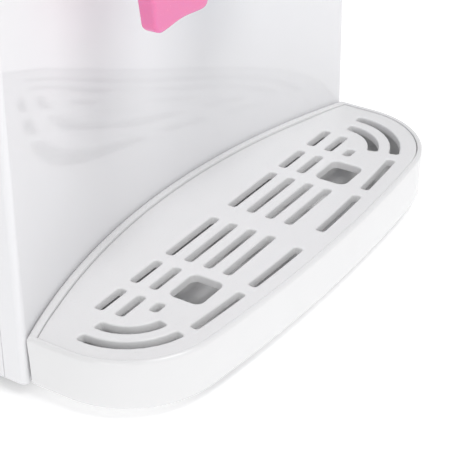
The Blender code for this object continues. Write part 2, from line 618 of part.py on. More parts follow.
def make_spring(name, x, low, high):
    """A coil spring round the valve stem."""
    turns, wire, radius, per_turn = 5, 0.0006, 0.0042, 10
    curve = bpy.data.curves.new(name, 'CURVE')
    curve.dimensions = '3D'
    curve.bevel_depth = wire
    curve.bevel_resolution = 1
    curve.use_fill_caps = True
    spline = curve.splines.new('POLY')
    count = turns * per_turn
    spline.points.add(count)
    for i, point in enumerate(spline.points):
        angle = 2 * pi * i / per_turn
        z = low + wire + (high - low - 2 * wire) * i / count
        point.co = (x + radius * cos(angle), TAP_Y + radius * sin(angle), z, 1)
    curve.materials.append(STEEL)
    PARTS.objects.link(bpy.data.objects.new(name, curve))


def make_lever(name, x, material):
    """The push lever: a flanged paddle that arches back over the bonnet, with slots for lug and stem."""
    side = rounded([(-0.1040, LEVER_LOW, 0.0015), (-0.0953, LEVER_LOW, 0.0015), (-0.0905, 0.1900, 0.010),
                    (-0.0905, 0.2140, 0.003), (-0.0640, 0.2140, 0.002), (-0.0640, 0.2270, 0.003),
                    (-0.0975, 0.2270, 0.007)])
    lever = slab(name, [side], x - LEVER_W / 2, x + LEVER_W / 2, material, axis='X')
    half = LEVER_W / 2
    sag = [(x + half * t, LEVER_LOW + 0.0014 * (1 - t * t)) for t in np.linspace(-0.55, 0.55, 7)]
    front = (arc(x - half + 0.008, LEVER_LOW + 0.008, 0.008, 180, 262, 5) + sag
             + arc(x + half - 0.008, LEVER_LOW + 0.008, 0.008, 278, 360, 5)
             + [(x + half, 0.2300), (x - half, 0.2300)])
    boolean(lever, slab("keep_lever", [front], -0.12, -0.05, group=CUTTERS, axis='Y'), 'INTERSECT')
    cut_box(lever, (x - half + LEVER_WALL, -0.0965, LEVER_LOW + 0.003),
            (x + half - LEVER_WALL, -0.0500, 0.2120))
    cut_box(lever, (x - 0.0062, -0.0935, 0.2070), (x + 0.0062, -0.0815, 0.2235))
    cut_box(lever, (x - 0.0054, -0.0820, 0.2188), (x + 0.0054, -0.0600, 0.2235))
    cut_box(lever, (x - 0.0034, -0.0820, 0.2100), (x + 0.0034, -0.0600, 0.2190))
    cut_round(lever, 0.0018, (x - 0.03, PIN_Y, PIN_Z), (x + 0.03, PIN_Y, PIN_Z), 16)
    put_origin(lever, (x, PIN_Y, PIN_Z))


# Electrics

def make_electrics():
    """The indicator lenses, the control board, the mains inlet and the two rear switches."""
    for name, x, material in (("hot", -0.012, RED_LENS), ("cold", 0.012, BLUE_LENS)):
        lens = cylinder("indicator_" + name, 0.0030, (x, -0.0575, 0.330), (x, -0.0480, 0.330), material, 20)
        join_round(lens, 0.0045, (x, -0.0520, 0.330), (x, -0.0495, 0.330), 20)
    board = box("control_board", (0.1270, 0.010, 0.060), (0.1286, 0.085, 0.150), BOARD)
    for low, y, z in (((0.108, 0.020, 0.068), 0.045, 0.094), ((0.112, 0.052, 0.070), 0.070, 0.088),
                      ((0.118, 0.020, 0.110), 0.035, 0.125), ((0.120, 0.045, 0.120), 0.075, 0.128)):
        join_box(board, low, (0.1272, y, z))
    inlet = box("mains_inlet", (0.0620, 0.136, 0.0400), (0.0900, COVER_Y + 0.001, 0.0600), BLACK)
    join_box(inlet, (0.0590, COVER_Y + GAP, 0.0370), (0.0930, BACK_Y, 0.0630))
    cut_box(inlet, (0.0640, 0.1410, 0.0430), (0.0880, 0.1700, 0.0570))
    for x, z in ((0.0690, 0.0480), (0.0760, 0.0520), (0.0830, 0.0480)):
        join_box(inlet, (x - 0.001, 0.1400, z - 0.002), (x + 0.001, 0.1500, z + 0.002))
    for name, x in zip(("hot", "cold"), SWITCH_X):
        frame = box("switch_frame_" + name, (x - 0.0065, 0.1440, SWITCH_Z - 0.0095),
                    (x + 0.0065, COVER_Y + 0.001, SWITCH_Z + 0.0095), BLACK)
        join_box(frame, (x - 0.0085, COVER_Y + GAP, SWITCH_Z - 0.0115),
                 (x + 0.0085, BACK_Y, SWITCH_Z + 0.0115))
        cut_box(frame, (x - 0.0052, 0.1460, SWITCH_Z - 0.0082), (x + 0.0052, 0.1700, SWITCH_Z + 0.0082))
        rocker = slab("rocker_" + name, [rocker_outline()], x - 0.0048, x + 0.0048,
                      RED_LENS if name == "hot" else BLUE_LENS, axis='X')
        put_origin(rocker, (x, ROCKER_Y, SWITCH_Z))


def rocker_outline():
    """A rocker seen from the side, tipped to off, so its lower half is pressed in."""
    lean = radians(ROCKER_LEAN)
    shape = [(0.0, -0.0074), (0.0042, -0.0072), (0.0030, 0.0), (0.0042, 0.0072), (0.0, 0.0074),
             (-0.0030, 0.0)]
    return [(ROCKER_Y + y * cos(lean) - z * sin(lean), SWITCH_Z + y * sin(lean) + z * cos(lean))
            for y, z in shape]


# Drip tray

def make_tray():
    """The drip tray: a skirt, a bowed wall with a rounded rim, a ledge for the grille and a basin."""
    outline = tray_outline()
    room = tray_outline(TRAY_PANEL_GAP + BACK_RIM)
    section = [(outline, 0.0060, 0.0092), (outline, 0.0042, SKIRT_Z), (outline, 0.0020, SKIRT_Z),
               (outline, 0.0010, 0.0072), (outline, 0.0, 0.0298), (outline, 0.0005, 0.0311),
               (outline, 0.0012, 0.0317), (outline, 0.0022, RIM_TOP), (room, RIM - 0.0004, RIM_TOP),
               (room, RIM, RIM_TOP - 0.0004), (room, RIM, 0.0268), (room, RIM + LEDGE, 0.0268),
               (room, RIM + LEDGE + 0.0020, 0.0118)]
    tray = loft("drip_tray", [(inset(shape, d), z) for shape, d, z in section], WHITE)
    cut_box(tray, (-0.1015, -0.100, 0.0), (0.1015, -0.030, 0.00915))
    slab("drip_grille", [inset(room, RIM + 0.0006)] + grille_holes(), GRILLE_TOP - GRILLE_T, GRILLE_TOP,
         WHITE)


make_base()
make_front_panel()
make_sides()
make_rear_cover()
make_top_cover()
make_bottle_seat()
make_cold_side()
make_fan()
make_hot_side()
make_hoses()
make_tap("hot", -TAP_X, PINK)
make_tap("cold", TAP_X, BLUE)
make_electrics()
make_tray()
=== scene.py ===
# %% [markdown]
# # A countertop water dispenser
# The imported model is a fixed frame: every piece already has its size and its place.
# This lesson gives that frame its looks. It swaps the coarse mouldings for smooth ones worked
# out with numpy, gives every piece a procedural material, and sets up a camera and soft light.

# %% Load the frame
from math import radians

import bmesh
import bpy
import numpy as np
from mathutils import Matrix, Vector, geometry


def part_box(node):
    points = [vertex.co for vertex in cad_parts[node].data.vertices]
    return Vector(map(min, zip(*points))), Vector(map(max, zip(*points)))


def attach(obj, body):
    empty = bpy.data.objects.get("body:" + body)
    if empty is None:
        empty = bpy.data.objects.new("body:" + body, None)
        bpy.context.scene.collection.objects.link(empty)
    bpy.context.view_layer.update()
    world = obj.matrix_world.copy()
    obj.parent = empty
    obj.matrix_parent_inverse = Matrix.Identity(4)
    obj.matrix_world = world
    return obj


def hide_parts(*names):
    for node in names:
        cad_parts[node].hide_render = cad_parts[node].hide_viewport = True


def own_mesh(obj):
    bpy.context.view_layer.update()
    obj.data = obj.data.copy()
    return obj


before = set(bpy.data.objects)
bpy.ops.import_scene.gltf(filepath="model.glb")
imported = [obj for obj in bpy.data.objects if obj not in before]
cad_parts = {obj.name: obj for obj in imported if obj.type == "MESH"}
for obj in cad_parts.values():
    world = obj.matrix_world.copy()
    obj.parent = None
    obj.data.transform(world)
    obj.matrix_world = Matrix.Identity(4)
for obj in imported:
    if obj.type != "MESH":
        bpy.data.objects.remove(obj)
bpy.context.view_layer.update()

print("pieces in the frame:", len(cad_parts))

# %% [markdown]
# ## Sizes
# The frame says where each piece is, so sizes are read from the frame's boxes wherever a box can
# give them. The few that a box can't give, such as the radius of a curve, are named here once.

# %% Sizes from the frame
tray_low, tray_high = (np.array(v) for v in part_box("drip_tray"))
panel_low, panel_high = (np.array(v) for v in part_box("front_panel"))
grille_low, grille_high = (np.array(v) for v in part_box("drip_grille"))
lid_low, lid_high = (np.array(v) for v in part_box("top_cover"))
collar_low, collar_high = (np.array(v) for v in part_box("bottle_collar"))
HALF_WIDTH = tray_high[0]
FRONT_Y = tray_low[1]
BODY_HALF = panel_high[0]
SEAT_Y = (collar_low[1] + collar_high[1]) / 2

PANEL_R = 0.384             # the front panel is hollow: a circle whose centre is in front of it
PANEL_APEX = -0.0554
PANEL_CENTRE = PANEL_APEX - PANEL_R
PANEL_FILLET = 0.0028
RETURN_Y = -0.0692          # where the panel's side returns end
SHEET = 0.0025
TRAY_BOW_R = 0.887
TRAY_CORNER_R = 0.049
TRAY_PANEL_GAP = 0.0005
RIM = 0.0028
BACK_RIM = 0.0017           # how much wider the tray's rim is along the panel
LEDGE = 0.0030
TONGUE_TOP = 0.0092         # the base plate's tongue passes under the panel and the tray
BORE_X, BORE_Z = 0.043, 0.188
LAMP_X, LAMP_Z = 0.012, 0.330
TAPS = (("hot", -BORE_X), ("cold", BORE_X))
print("cabinet width %.1f mm, tray depth %.1f mm" % (2000 * BODY_HALF, 1000 * (tray_high[1] - tray_low[1])))

# %% [markdown]
# ## Camera
# The viewer stands in front of the dispenser's left end, looks down at about 31 degrees and uses
# a long lens, so the picture is a close view of the drip tray. Three angles and a place are
# enough. A long lens keeps the tray's parallel slots nearly parallel, as they are seen here.

# %% Camera
AZIMUTH, ELEVATION, ROLL = radians(-56.17), radians(30.76), radians(-0.76)
camera_data = bpy.data.cameras.new("camera")
camera_data.lens = 125.4
camera_data.sensor_width = 36.0
camera_data.clip_start = 0.01
camera = bpy.data.objects.new("camera", camera_data)
bpy.context.scene.collection.objects.link(camera)
tilt = Matrix.Rotation(AZIMUTH, 4, 'Z') @ Matrix.Rotation(radians(90) - ELEVATION, 4, 'X')
camera.matrix_world = Matrix.Translation((-0.5633, -0.4727, 0.4272)) @ tilt @ Matrix.Rotation(ROLL, 4, 'Z')
bpy.context.scene.camera = camera
print("camera at", tuple(round(v, 3) for v in camera.location))


# %% [markdown]
# ## From arrays to a mesh
# Most mouldings here are a closed outline that changes its size and height: a wall, a rim, a
# ledge. That is a grid of points, ring after ring. One function turns such a grid into a mesh,
# with its faces worked out as whole arrays, and turns the mesh the right way out if needed.

# %% Helpers for surfaces
def new_piece(name, points, faces, sharp=35):
    """A mesh object from points and faces, smooth but for edges sharper than an angle in degrees."""
    mesh = bpy.data.meshes.new(name)
    mesh.from_pydata(np.asarray(points).tolist(), [], faces)
    shape = bmesh.new()
    shape.from_mesh(mesh)
    bmesh.ops.remove_doubles(shape, verts=shape.verts, dist=0.000001)
    bmesh.ops.recalc_face_normals(shape, faces=shape.faces)
    if shape.calc_volume(signed=True) < 0:
        bmesh.ops.reverse_faces(shape, faces=shape.faces)
    shape.to_mesh(mesh)
    open_edges = sum(not edge.is_manifold for edge in shape.edges)
    shape.free()
    mesh.shade_smooth()
    mesh.set_sharp_from_angle(angle=radians(sharp))
    made = bpy.data.objects.new(name, mesh)
    bpy.context.scene.collection.objects.link(made)
    print("%s: %d faces, %d open edges" % (name, len(mesh.polygons), open_edges))
    return made


def ring_faces(rows, count, closed=False):
    """Four-sided faces between each ring and the next; closed joins the last ring to the first."""
    row = np.arange(rows if closed else rows - 1)[:, None]
    column = np.arange(count)[None, :]
    after = (column + 1) % count
    above = (row + 1) % rows
    quads = np.stack([row * count + column, row * count + after,
                      above * count + after, above * count + column], axis=-1)
    return quads.reshape(-1, 4).tolist()


def ring_skin(name, rings, closed=False, sharp=35, bent_start=False):
    """A skin over rings, an array of rings x points x 3. Open ends get a cap, and a bent
    first ring gets a strip of four-sided faces between its two halves."""
    rows, count, _ = rings.shape
    faces = ring_faces(rows, count, closed)
    if not closed:
        last = (rows - 1) * count
        faces.append(list(range(last, last + count)))
        faces += ([[count - 1 - i, count - 2 - i, i + 1, i] for i in range(count // 2 - 1)]
                  if bent_start else [list(range(count))[::-1]])
    return new_piece(name, rings.reshape(-1, 3), faces, sharp)


def lift(outline, z):
    """A flat outline as a ring at height z."""
    return np.column_stack([outline, np.full(len(outline), z)])


def arc(cx, cy, r, start, end, steps):
    """Points on a circle between two angles in degrees, both ends included."""
    a = np.radians(np.linspace(start, end, steps + 1))
    return np.column_stack([cx + r * np.cos(a), cy + r * np.sin(a)])


def mirror_back(half):
    """The mirror image of a right-hand run of points, walked in the other direction."""
    return half[::-1] * (-1, 1)


# %% [markdown]
# ## Outlines seen from above
# The tray has a bowed front, two round corners, straight ends and a back that fits the hollow
# panel. Moved inwards by a distance, each circle only changes its radius, so every ring of the
# tray's rim, ledge and basin comes from the same formula. The cabinet works the same way.

# %% Outlines of the tray and the cabinet
def tray_outline(inset, back_more=0.0, back_fillet=0.0006):
    """The tray's outline moved in by inset, and by back_more along the panel: tangent arcs and lines."""
    half, bow, corner = HALF_WIDTH - inset, TRAY_BOW_R - inset, TRAY_CORNER_R - inset
    bow_y = FRONT_Y + TRAY_BOW_R
    corner_x = half - corner
    corner_y = bow_y - np.sqrt((bow - corner) ** 2 - corner_x ** 2)
    lean = np.degrees(np.arcsin(corner_x / (bow - corner)))
    back = PANEL_R - TRAY_PANEL_GAP - back_more - inset
    fillet_x = half - back_fillet
    fillet_y = PANEL_CENTRE + np.sqrt((back - back_fillet) ** 2 - fillet_x ** 2)
    turn = np.degrees(np.arctan2(fillet_y - PANEL_CENTRE, fillet_x))
    end = np.column_stack([np.full(9, half), np.linspace(corner_y, fillet_y, 11)[1:-1]])
    right = np.vstack([arc(corner_x, corner_y, corner, 270 + lean, 360, 28), end,
                       arc(fillet_x, fillet_y, back_fillet, 0, turn, 5)])
    front = arc(0, bow_y, bow, 270 - lean, 270 + lean, 72)[1:-1]
    rear = arc(0, PANEL_CENTRE, back, turn, 180 - turn, 96)[1:-1]
    return np.vstack([front, right, rear, mirror_back(right)])


def panel_edge(inset):
    """The cabinet's right front corner: panel circle, fillet and the start of the side return."""
    half, fillet, circle = BODY_HALF - inset, PANEL_FILLET - inset, PANEL_R + inset
    x = half - fillet
    y = PANEL_CENTRE + np.sqrt((circle + fillet) ** 2 - x ** 2)
    turn = np.degrees(np.arctan2(y - PANEL_CENTRE, x))
    hollow = arc(0, PANEL_CENTRE, circle, 90, turn, 110)
    return np.vstack([hollow, arc(x, y, fillet, turn - 180, 0, 16)[1:]])


def cabinet_outline(inset, rear_y, rear_fillet=0.006):
    """The whole cabinet from above, moved in by inset, with round rear corners."""
    half, fillet = BODY_HALF - inset, rear_fillet - inset
    edge = panel_edge(inset)
    side_y = np.linspace(edge[-1, 1], rear_y - rear_fillet, 60)[1:-1]
    side = np.column_stack([np.full(58, half), side_y])
    corner = arc(half - fillet, rear_y - inset - fillet, fillet, 0, 90, 10)
    rear_x = np.linspace(half - fillet, 0, 50)[1:]
    rear = np.column_stack([rear_x, np.full(49, rear_y - inset)])
    right = np.vstack([edge, side, corner, rear])
    return np.vstack([right, mirror_back(right)[1:-1]])


print("points round the tray:", len(tray_outline(0)))

# %% [markdown]
# ## The front panel
# The real panel is one glossy moulding that is hollow towards the user, with its two side
# returns. Its reflection shows every facet, so the curve is walked in over two hundred steps.
# The sheet's outer and inner faces are the same curve at two insets, joined into one closed
# outline that is repeated up the panel's height. The holes for the taps and lamps are cut last.

# %% Front panel
def drill(piece, radius, start, end):
    """Cuts a round hole with an exact boolean, applies it and removes the cutter."""
    mesh = bpy.data.meshes.new("drill")
    bar = bmesh.new()
    span = Vector(end) - Vector(start)
    bmesh.ops.create_cone(bar, cap_ends=True, segments=48, radius1=radius, radius2=radius, depth=span.length)
    turn = span.to_track_quat('Z', 'Y').to_matrix().to_4x4()
    middle = Matrix.Translation((Vector(start) + Vector(end)) / 2)
    bmesh.ops.transform(bar, matrix=middle @ turn, verts=bar.verts)
    bar.to_mesh(mesh)
    bar.free()
    carve(piece, mesh)


def carve(piece, tool_mesh, operation='DIFFERENCE'):
    """Combines a piece with a tool by an exact boolean, and keeps only the result."""
    tool = bpy.data.objects.new("tool", tool_mesh)
    bpy.context.scene.collection.objects.link(tool)
    step = piece.modifiers.new("carve", 'BOOLEAN')
    step.operation = operation
    step.object = tool
    graph = bpy.context.evaluated_depsgraph_get()
    graph.update()
    result = bpy.data.meshes.new_from_object(piece.evaluated_get(graph))
    piece.modifiers.clear()
    piece.data = result
    bpy.data.objects.remove(tool)
    piece.data.set_sharp_from_angle(angle=radians(35))


def block_mesh(low, high):
    """A plain block between two corners, as a cutting tool."""
    mesh = bpy.data.meshes.new("block")
    cube = bmesh.new()
    bmesh.ops.create_cube(cube, size=1.0)
    middle = Matrix.Translation((Vector(low) + Vector(high)) / 2)
    size = Matrix.Diagonal((*(Vector(high) - Vector(low)), 1))
    bmesh.ops.transform(cube, matrix=middle @ size, verts=cube.verts)
    cube.to_mesh(mesh)
    cube.free()
    return mesh


outer = np.vstack([panel_edge(0), [[BODY_HALF, RETURN_Y]]])
inner = np.vstack([panel_edge(SHEET), [[BODY_HALF - SHEET, RETURN_Y]]])
sheet = np.vstack([outer[:0:-1] * (-1, 1), outer, inner[::-1], inner[1:] * (-1, 1)])
levels = np.linspace(panel_low[2], panel_high[2], 72)
panel = ring_skin("panel_moulding", np.stack([lift(sheet, z) for z in levels]))
carve(panel, block_mesh((-0.104, -0.09, 0.0), (0.104, -0.04, TONGUE_TOP)))
for side in (-1, 1):
    drill(panel, 0.0075, (side * BORE_X, -0.07, BORE_Z), (side * BORE_X, -0.04, BORE_Z))
    drill(panel, 0.0033, (side * LAMP_X, -0.07, LAMP_Z), (side * LAMP_X, -0.04, LAMP_Z))

# %% [markdown]
# Round each tap hole the real moulding has a flat boss, so that the tap's flange seats squarely
# on a curved wall. A boss is a turned shape: a profile of radius and depth, carried round the
# hole's axis, with a small cove where it meets the panel.

# %% Turned shapes and the tap bosses
def turned(name, profile, centre, axis='Z', steps=96, sharp=35):
    """A profile of (radius, distance along the axis) carried round an axis, closed as a ring."""
    profile = np.array(profile, float)
    a = np.linspace(0, 2 * np.pi, steps, endpoint=False)
    r, t = profile[:, :1], np.repeat(profile[:, 1:], steps, axis=1)
    flat = np.stack([r * np.cos(a), r * np.sin(a), t], axis=-1)
    if axis == 'Y':
        flat = flat[..., [0, 2, 1]]
    solid = profile[0, 0] == 0 or profile[-1, 0] == 0
    rings = flat + np.array(centre)
    if solid:
        rings = np.where(r[..., None] == 0, rings.mean(axis=1, keepdims=True), rings)
    return ring_skin(name, rings, closed=not solid, sharp=sharp)


def bend(x, y, r, start, end, steps=5):
    """The points of a small round, for use inside a profile."""
    return arc(x, y, r, start, end, steps).tolist()


boss_profile = ([[0.0076, -0.0572], [0.0076, -0.0625]] + bend(0.0160, -0.0615, 0.0010, 270, 360)
                + bend(0.0195, -0.0600, 0.0025, 180, 100) + [[0.0190, -0.0560]])
bosses = [turned("tap_boss_" + hand, boss_profile, (x, 0, BORE_Z), 'Y')
          for hand, x in (("left", -BORE_X), ("right", BORE_X))]

# %% [markdown]
# ## The drip tray
# The tray is one moulding with a thin wall. From below to above it goes: a hidden skirt, a wall
# that leans out a little so that it leaves its mould, a soft round at the top, a narrow flat rim,
# a step down to the grille, a ledge that the grille rests on, and the basin. Each of these is a
# pair of numbers, inset and height, and the rounds between them are arcs.

# %% Drip tray
RIM_TOP = tray_high[2]
BASE_Z = tray_low[2]
outside = ([[0.0060, 0.0092], [0.0042, BASE_Z + 0.0004], [0.0039, BASE_Z], [0.0022, BASE_Z]]
           + bend(0.0020, BASE_Z + 0.0012, 0.0012, 270, 188, 4)
           + [[0.0006, 0.0130], [0.0004, 0.0200], [0.0001, 0.0280]]
           + bend(0.0021, RIM_TOP - 0.0020, 0.0020, 178, 92, 10))
within = (bend(RIM - 0.0004, RIM_TOP - 0.0004, 0.0004, 90, 0, 4)
          + [[RIM, 0.0290], [RIM, 0.0270], [RIM + 0.0002, 0.0268], [RIM + LEDGE, 0.0268],
             [RIM + LEDGE + 0.0004, 0.0264], [RIM + LEDGE + 0.0013, 0.0150]]
          + bend(RIM + LEDGE + 0.0043, 0.0148, 0.0030, 180, 270, 6))
tray = ring_skin("drip_tray_moulding", np.stack([lift(tray_outline(d), z) for d, z in outside]
                                                + [lift(tray_outline(d, BACK_RIM), z) for d, z in within]))
carve(tray, block_mesh((-0.1015, -0.100, 0.0), (0.1015, -0.030, TONGUE_TOP - 0.00005)))

# %% [markdown]
# ## The grille
# The grille is a plate with many openings, and every opening has a soft round edge. A boolean
# would leave sharp edges and long thin faces, so the plate is triangulated instead: the edge of
# each opening, already moved back by the round's radius, is a constraint, and a fine grid of
# points between the openings lets the surface dip gently along its back edge. Each opening's
# wall is then a ring skin of its own that starts on those same points.

# %% Outlines of the openings
SLOT_W = 0.0047
SLOT_PITCH = 0.0110
FIRST_ROW_Y = -0.0968
GRILLE_Z = grille_high[2]
EDGE = 0.0009
RIM_EDGE, GRILLE_GAP = 0.0005, 0.0004
DIP_WIDTH, DIP_DEPTH = 0.0090, 0.0007    # the soft ramp along the back seam


def stadium(length, width, r, steps=7):
    """A rectangle with round corners, centred, with extra points along its long sides."""
    x, y = length / 2 - r, width / 2 - r
    run = np.linspace(-x, x, 9)[1:-1]
    lower = np.column_stack([run, np.full(7, -width / 2)])
    upper = np.column_stack([run[::-1], np.full(7, width / 2)])
    return np.vstack([arc(-x, -y, r, 180, 270, steps), lower, arc(x, -y, r, 270, 360, steps),
                      arc(x, y, r, 0, 90, steps), upper, arc(-x, y, r, 90, 180, steps)])


def grow(loop, distance):
    """A counter-clockwise loop moved outwards along its own normals, with mitred corners."""
    ahead = np.roll(loop, -1, axis=0) - loop
    ahead /= np.linalg.norm(ahead, axis=1)[:, None]
    normal = np.column_stack([ahead[:, 1], -ahead[:, 0]])
    before = np.roll(normal, 1, axis=0)
    reach = 1 + (normal * before).sum(axis=1)
    return loop + distance * (normal + before) / reach[:, None]


def straight_slot(x0, x1, y0, y1, r=0.0018):
    """A slot between two corners of a box."""
    return stadium(x1 - x0, y1 - y0, r) + ((x0 + x1) / 2, (y0 + y1) / 2)


def bent_slot(cx, cy, radius, start, end, width, r=0.0016):
    """A slot bent round a point: its length becomes an angle, its width a change of radius."""
    flat = stadium(np.radians(end - start) * radius, width, r)
    a = np.radians((start + end) / 2) + flat[:, 0] / radius
    rho = radius - flat[:, 1]
    return np.column_stack([cx + rho * np.cos(a), cy + rho * np.sin(a)])


right_half = []
for row in range(4):
    y = FIRST_ROW_Y - row * SLOT_PITCH
    right_half.append(straight_slot(0.0068, 0.0480, y, y + SLOT_W))
    if row < 2:
        right_half.append(straight_slot(0.0552, 0.0766, y, y + SLOT_W))
    if row < 3:
        right_half.append(straight_slot(0.0840, (0.1036, 0.1028, 0.0919)[row], y, y + SLOT_W))
right_half.append(straight_slot(0.0554, 0.0767, -0.1319, -0.1141, 0.0038))
BOW_SLOT_R = 0.900
for x0, x1 in ((0.0096, 0.0502), (0.0576, 0.0931)):
    start, end = (270 + np.degrees(np.arcsin(x / BOW_SLOT_R)) for x in (x0, x1))
    right_half.append(bent_slot(0, -0.1468 + BOW_SLOT_R, BOW_SLOT_R - SLOT_W / 2, start, end, SLOT_W))
for r_in, r_out in ((0.0199, 0.0257), (0.0319, 0.0372)):
    right_half.append(bent_slot(0.0908, -0.1038, (r_in + r_out) / 2, -76, 5, r_out - r_in))


def anticlockwise(loop):
    """The loop, turned round if the area it encloses comes out negative."""
    x, y = loop.T
    return loop if (x * np.roll(y, -1) - np.roll(x, -1) * y).sum() > 0 else loop[::-1]


openings = [anticlockwise(loop) for loop in right_half]
openings += [anticlockwise(loop * (-1, 1)) for loop in right_half]
print("openings in the grille:", len(openings))


# %% The plate between them
def inside(points, loop):
    """Which points lie inside a loop, by counting the edges that a ray towards +X crosses."""
    x, y = points[:, :1], points[:, 1:]
    x0, y0 = loop.T
    x1, y1 = np.roll(loop, -1, axis=0).T
    crosses = (y0 > y) != (y1 > y)
    slope = (x1 - x0) / np.where(y1 == y0, 1e-12, y1 - y0)
    return (crosses & (x < x0 + (y - y0) * slope)).sum(axis=1) % 2 == 1


def distance_to(points, loop):
    """The distance from each point to the nearest corner of a loop."""
    gap = points[:, None, :] - loop[None, :, :]
    return np.sqrt((gap ** 2).sum(axis=2)).min(axis=1)


def dip(points):
    """The plate's height change: a soft ramp down towards the back seam that fades at both ends."""
    seam = PANEL_CENTRE + np.sqrt((PANEL_R - 0.005) ** 2 - points[:, 0] ** 2)
    near = np.clip(1 - (seam - points[:, 1]) / DIP_WIDTH, 0, 1)
    fade = np.clip((0.128 - np.abs(points[:, 0])) / 0.020, 0, 1)
    return -DIP_DEPTH * near * fade * fade * (3 - 2 * fade)


rim_loop = tray_outline(RIM + GRILLE_GAP, BACK_RIM)
rim_top = tray_outline(RIM + GRILLE_GAP + RIM_EDGE, BACK_RIM)
hole_tops = [grow(loop, EDGE) for loop in openings]

xs = np.arange(-0.136, 0.1361, 0.0030)
ys = np.arange(FRONT_Y, PANEL_APEX, 0.0022)
grid = np.stack(np.meshgrid(xs, ys), axis=-1).reshape(-1, 2)
crease = np.column_stack([xs, PANEL_CENTRE + np.sqrt((PANEL_R - 0.005) ** 2 - xs ** 2) - DIP_WIDTH])
grid = np.vstack([grid[distance_to(grid, crease) > 0.0012], crease])
grid = grid[inside(grid, rim_top) & (distance_to(grid, rim_top) > 0.0012)]
for loop in hole_tops:
    grid = grid[~inside(grid, loop) & (distance_to(grid, loop) > 0.0011)]


def fill_between(rim, holes, spare):
    """Triangles inside a rim and outside its holes. The loops are constraints of a Delaunay
    triangulation, the spare points are free, and triangles centred in a hole are dropped."""
    loops = [rim] + holes
    starts = np.cumsum([0] + [len(loop) for loop in loops])
    edges = [(s + i, s + (i + 1) % len(loop)) for s, loop in zip(starts, loops) for i in range(len(loop))]
    given = np.vstack(loops + [spare]).tolist()
    points, _, faces, _, _, _ = geometry.delaunay_2d_cdt([Vector(p) for p in given], edges, [], 0, 1e-7)
    points = np.array([tuple(p) for p in points])
    triangles = np.array([tuple(f) for f in faces if len(f) == 3])
    centres = points[triangles].mean(axis=1)
    keep = inside(centres, rim)
    for loop in holes:
        keep &= ~inside(centres, loop)
    return points, triangles[keep]


plan, triangles = fill_between(rim_top, hole_tops, grid)
print("flat triangles:", len(triangles), "points:", len(plan))


# %% Its walls, and one mesh from all of it
def lip(loop, top_loop, radius):
    """The wall of an opening, or of the rim: a quarter round, then straight down."""
    rows = []
    for t in np.radians(np.linspace(90, 0, 5)):
        place = top_loop + (loop - top_loop) * np.cos(t)
        height = GRILLE_Z - radius + radius * np.sin(t) + dip(place)
        rows.append(np.column_stack([place, height]))
    foot = rows[-1].copy()
    foot[:, 2] = grille_low[2]
    return np.stack(rows + [foot])


top = np.column_stack([plan, GRILLE_Z + dip(plan)])
points, faces = [top], [triangles.tolist()]
offset = len(top)
bottoms = []
edge_rounds = [RIM_EDGE] + [EDGE] * len(openings)
for loop, top_loop, radius in zip([rim_loop] + openings, [rim_top] + hole_tops, edge_rounds):
    wall = lip(loop, top_loop, radius)
    points.append(wall.reshape(-1, 3))
    faces.append((np.array(ring_faces(len(wall), len(loop))) + offset).tolist())
    bottoms.append(wall[-1, :, :2])
    offset += wall.shape[0] * wall.shape[1]
low_plan, low_triangles = fill_between(bottoms[0], bottoms[1:], np.empty((0, 2)))
points.append(lift(low_plan, grille_low[2]))
faces.append((low_triangles[:, ::-1] + offset).tolist())
grille = new_piece("grille_moulding", np.vstack(points), sum(faces, []), sharp=50)

# %% [markdown]
# ## The levers
# A lever is a bent tongue: its section is a rectangle with round corners, carried along a path
# that climbs the paddle and arches back over the tap. The width shrinks along a quarter circle
# near the foot, which rounds the paddle's lower corners, and its foot has a slight arch. The
# hollow between its two flanges, and the slots that clear the bonnet's lug and the valve stem,
# are cut afterwards.

# %% Levers
LEVER_HALF = 0.0205
FOOT_ROUND = 0.0054
FOOT_ARCH, ARCH_HALF, ARCH_FADE = 0.0013, 0.0165, 0.016    # rise, half width, and where it ends
SECTION_ROUND = 0.0019
END_ROUND = 0.0022
PIVOT_Y, PIVOT_Z, PIVOT_R = -0.087, 0.218, 0.0018


def path_points(corners, rounds, share):
    """Points at given shares of the length of straight runs whose corners are rounded."""
    run = [np.array([corners[0]])]
    for before, corner, after, r in zip(corners, corners[1:], corners[2:], rounds):
        back = (np.array(before) - corner) / np.linalg.norm(np.array(before) - corner)
        ahead = (np.array(after) - corner) / np.linalg.norm(np.array(after) - corner)
        half = np.arccos(np.clip(back @ ahead, -1, 1)) / 2
        t = np.linspace(0, 1, 16)[:, None]
        start, end = np.array(corner) + back * r / np.tan(half), np.array(corner) + ahead * r / np.tan(half)
        run.append((1 - t) ** 2 * start + 2 * t * (1 - t) * np.array(corner) + t ** 2 * end)
    run.append(np.array([corners[-1]]))
    run = np.vstack(run)
    walked = np.concatenate([[0], np.cumsum(np.linalg.norm(np.diff(run, axis=0), axis=1))])
    want = share * walked[-1]
    return np.column_stack([np.interp(want, walked, run[:, k]) for k in (0, 1)]), walked[-1]


def round_end(distance, r):
    """How far an edge stands back near an end, as on a quarter circle of radius r."""
    d = np.clip(distance, 0, r)
    return r - np.sqrt(r * r - (r - d) ** 2)


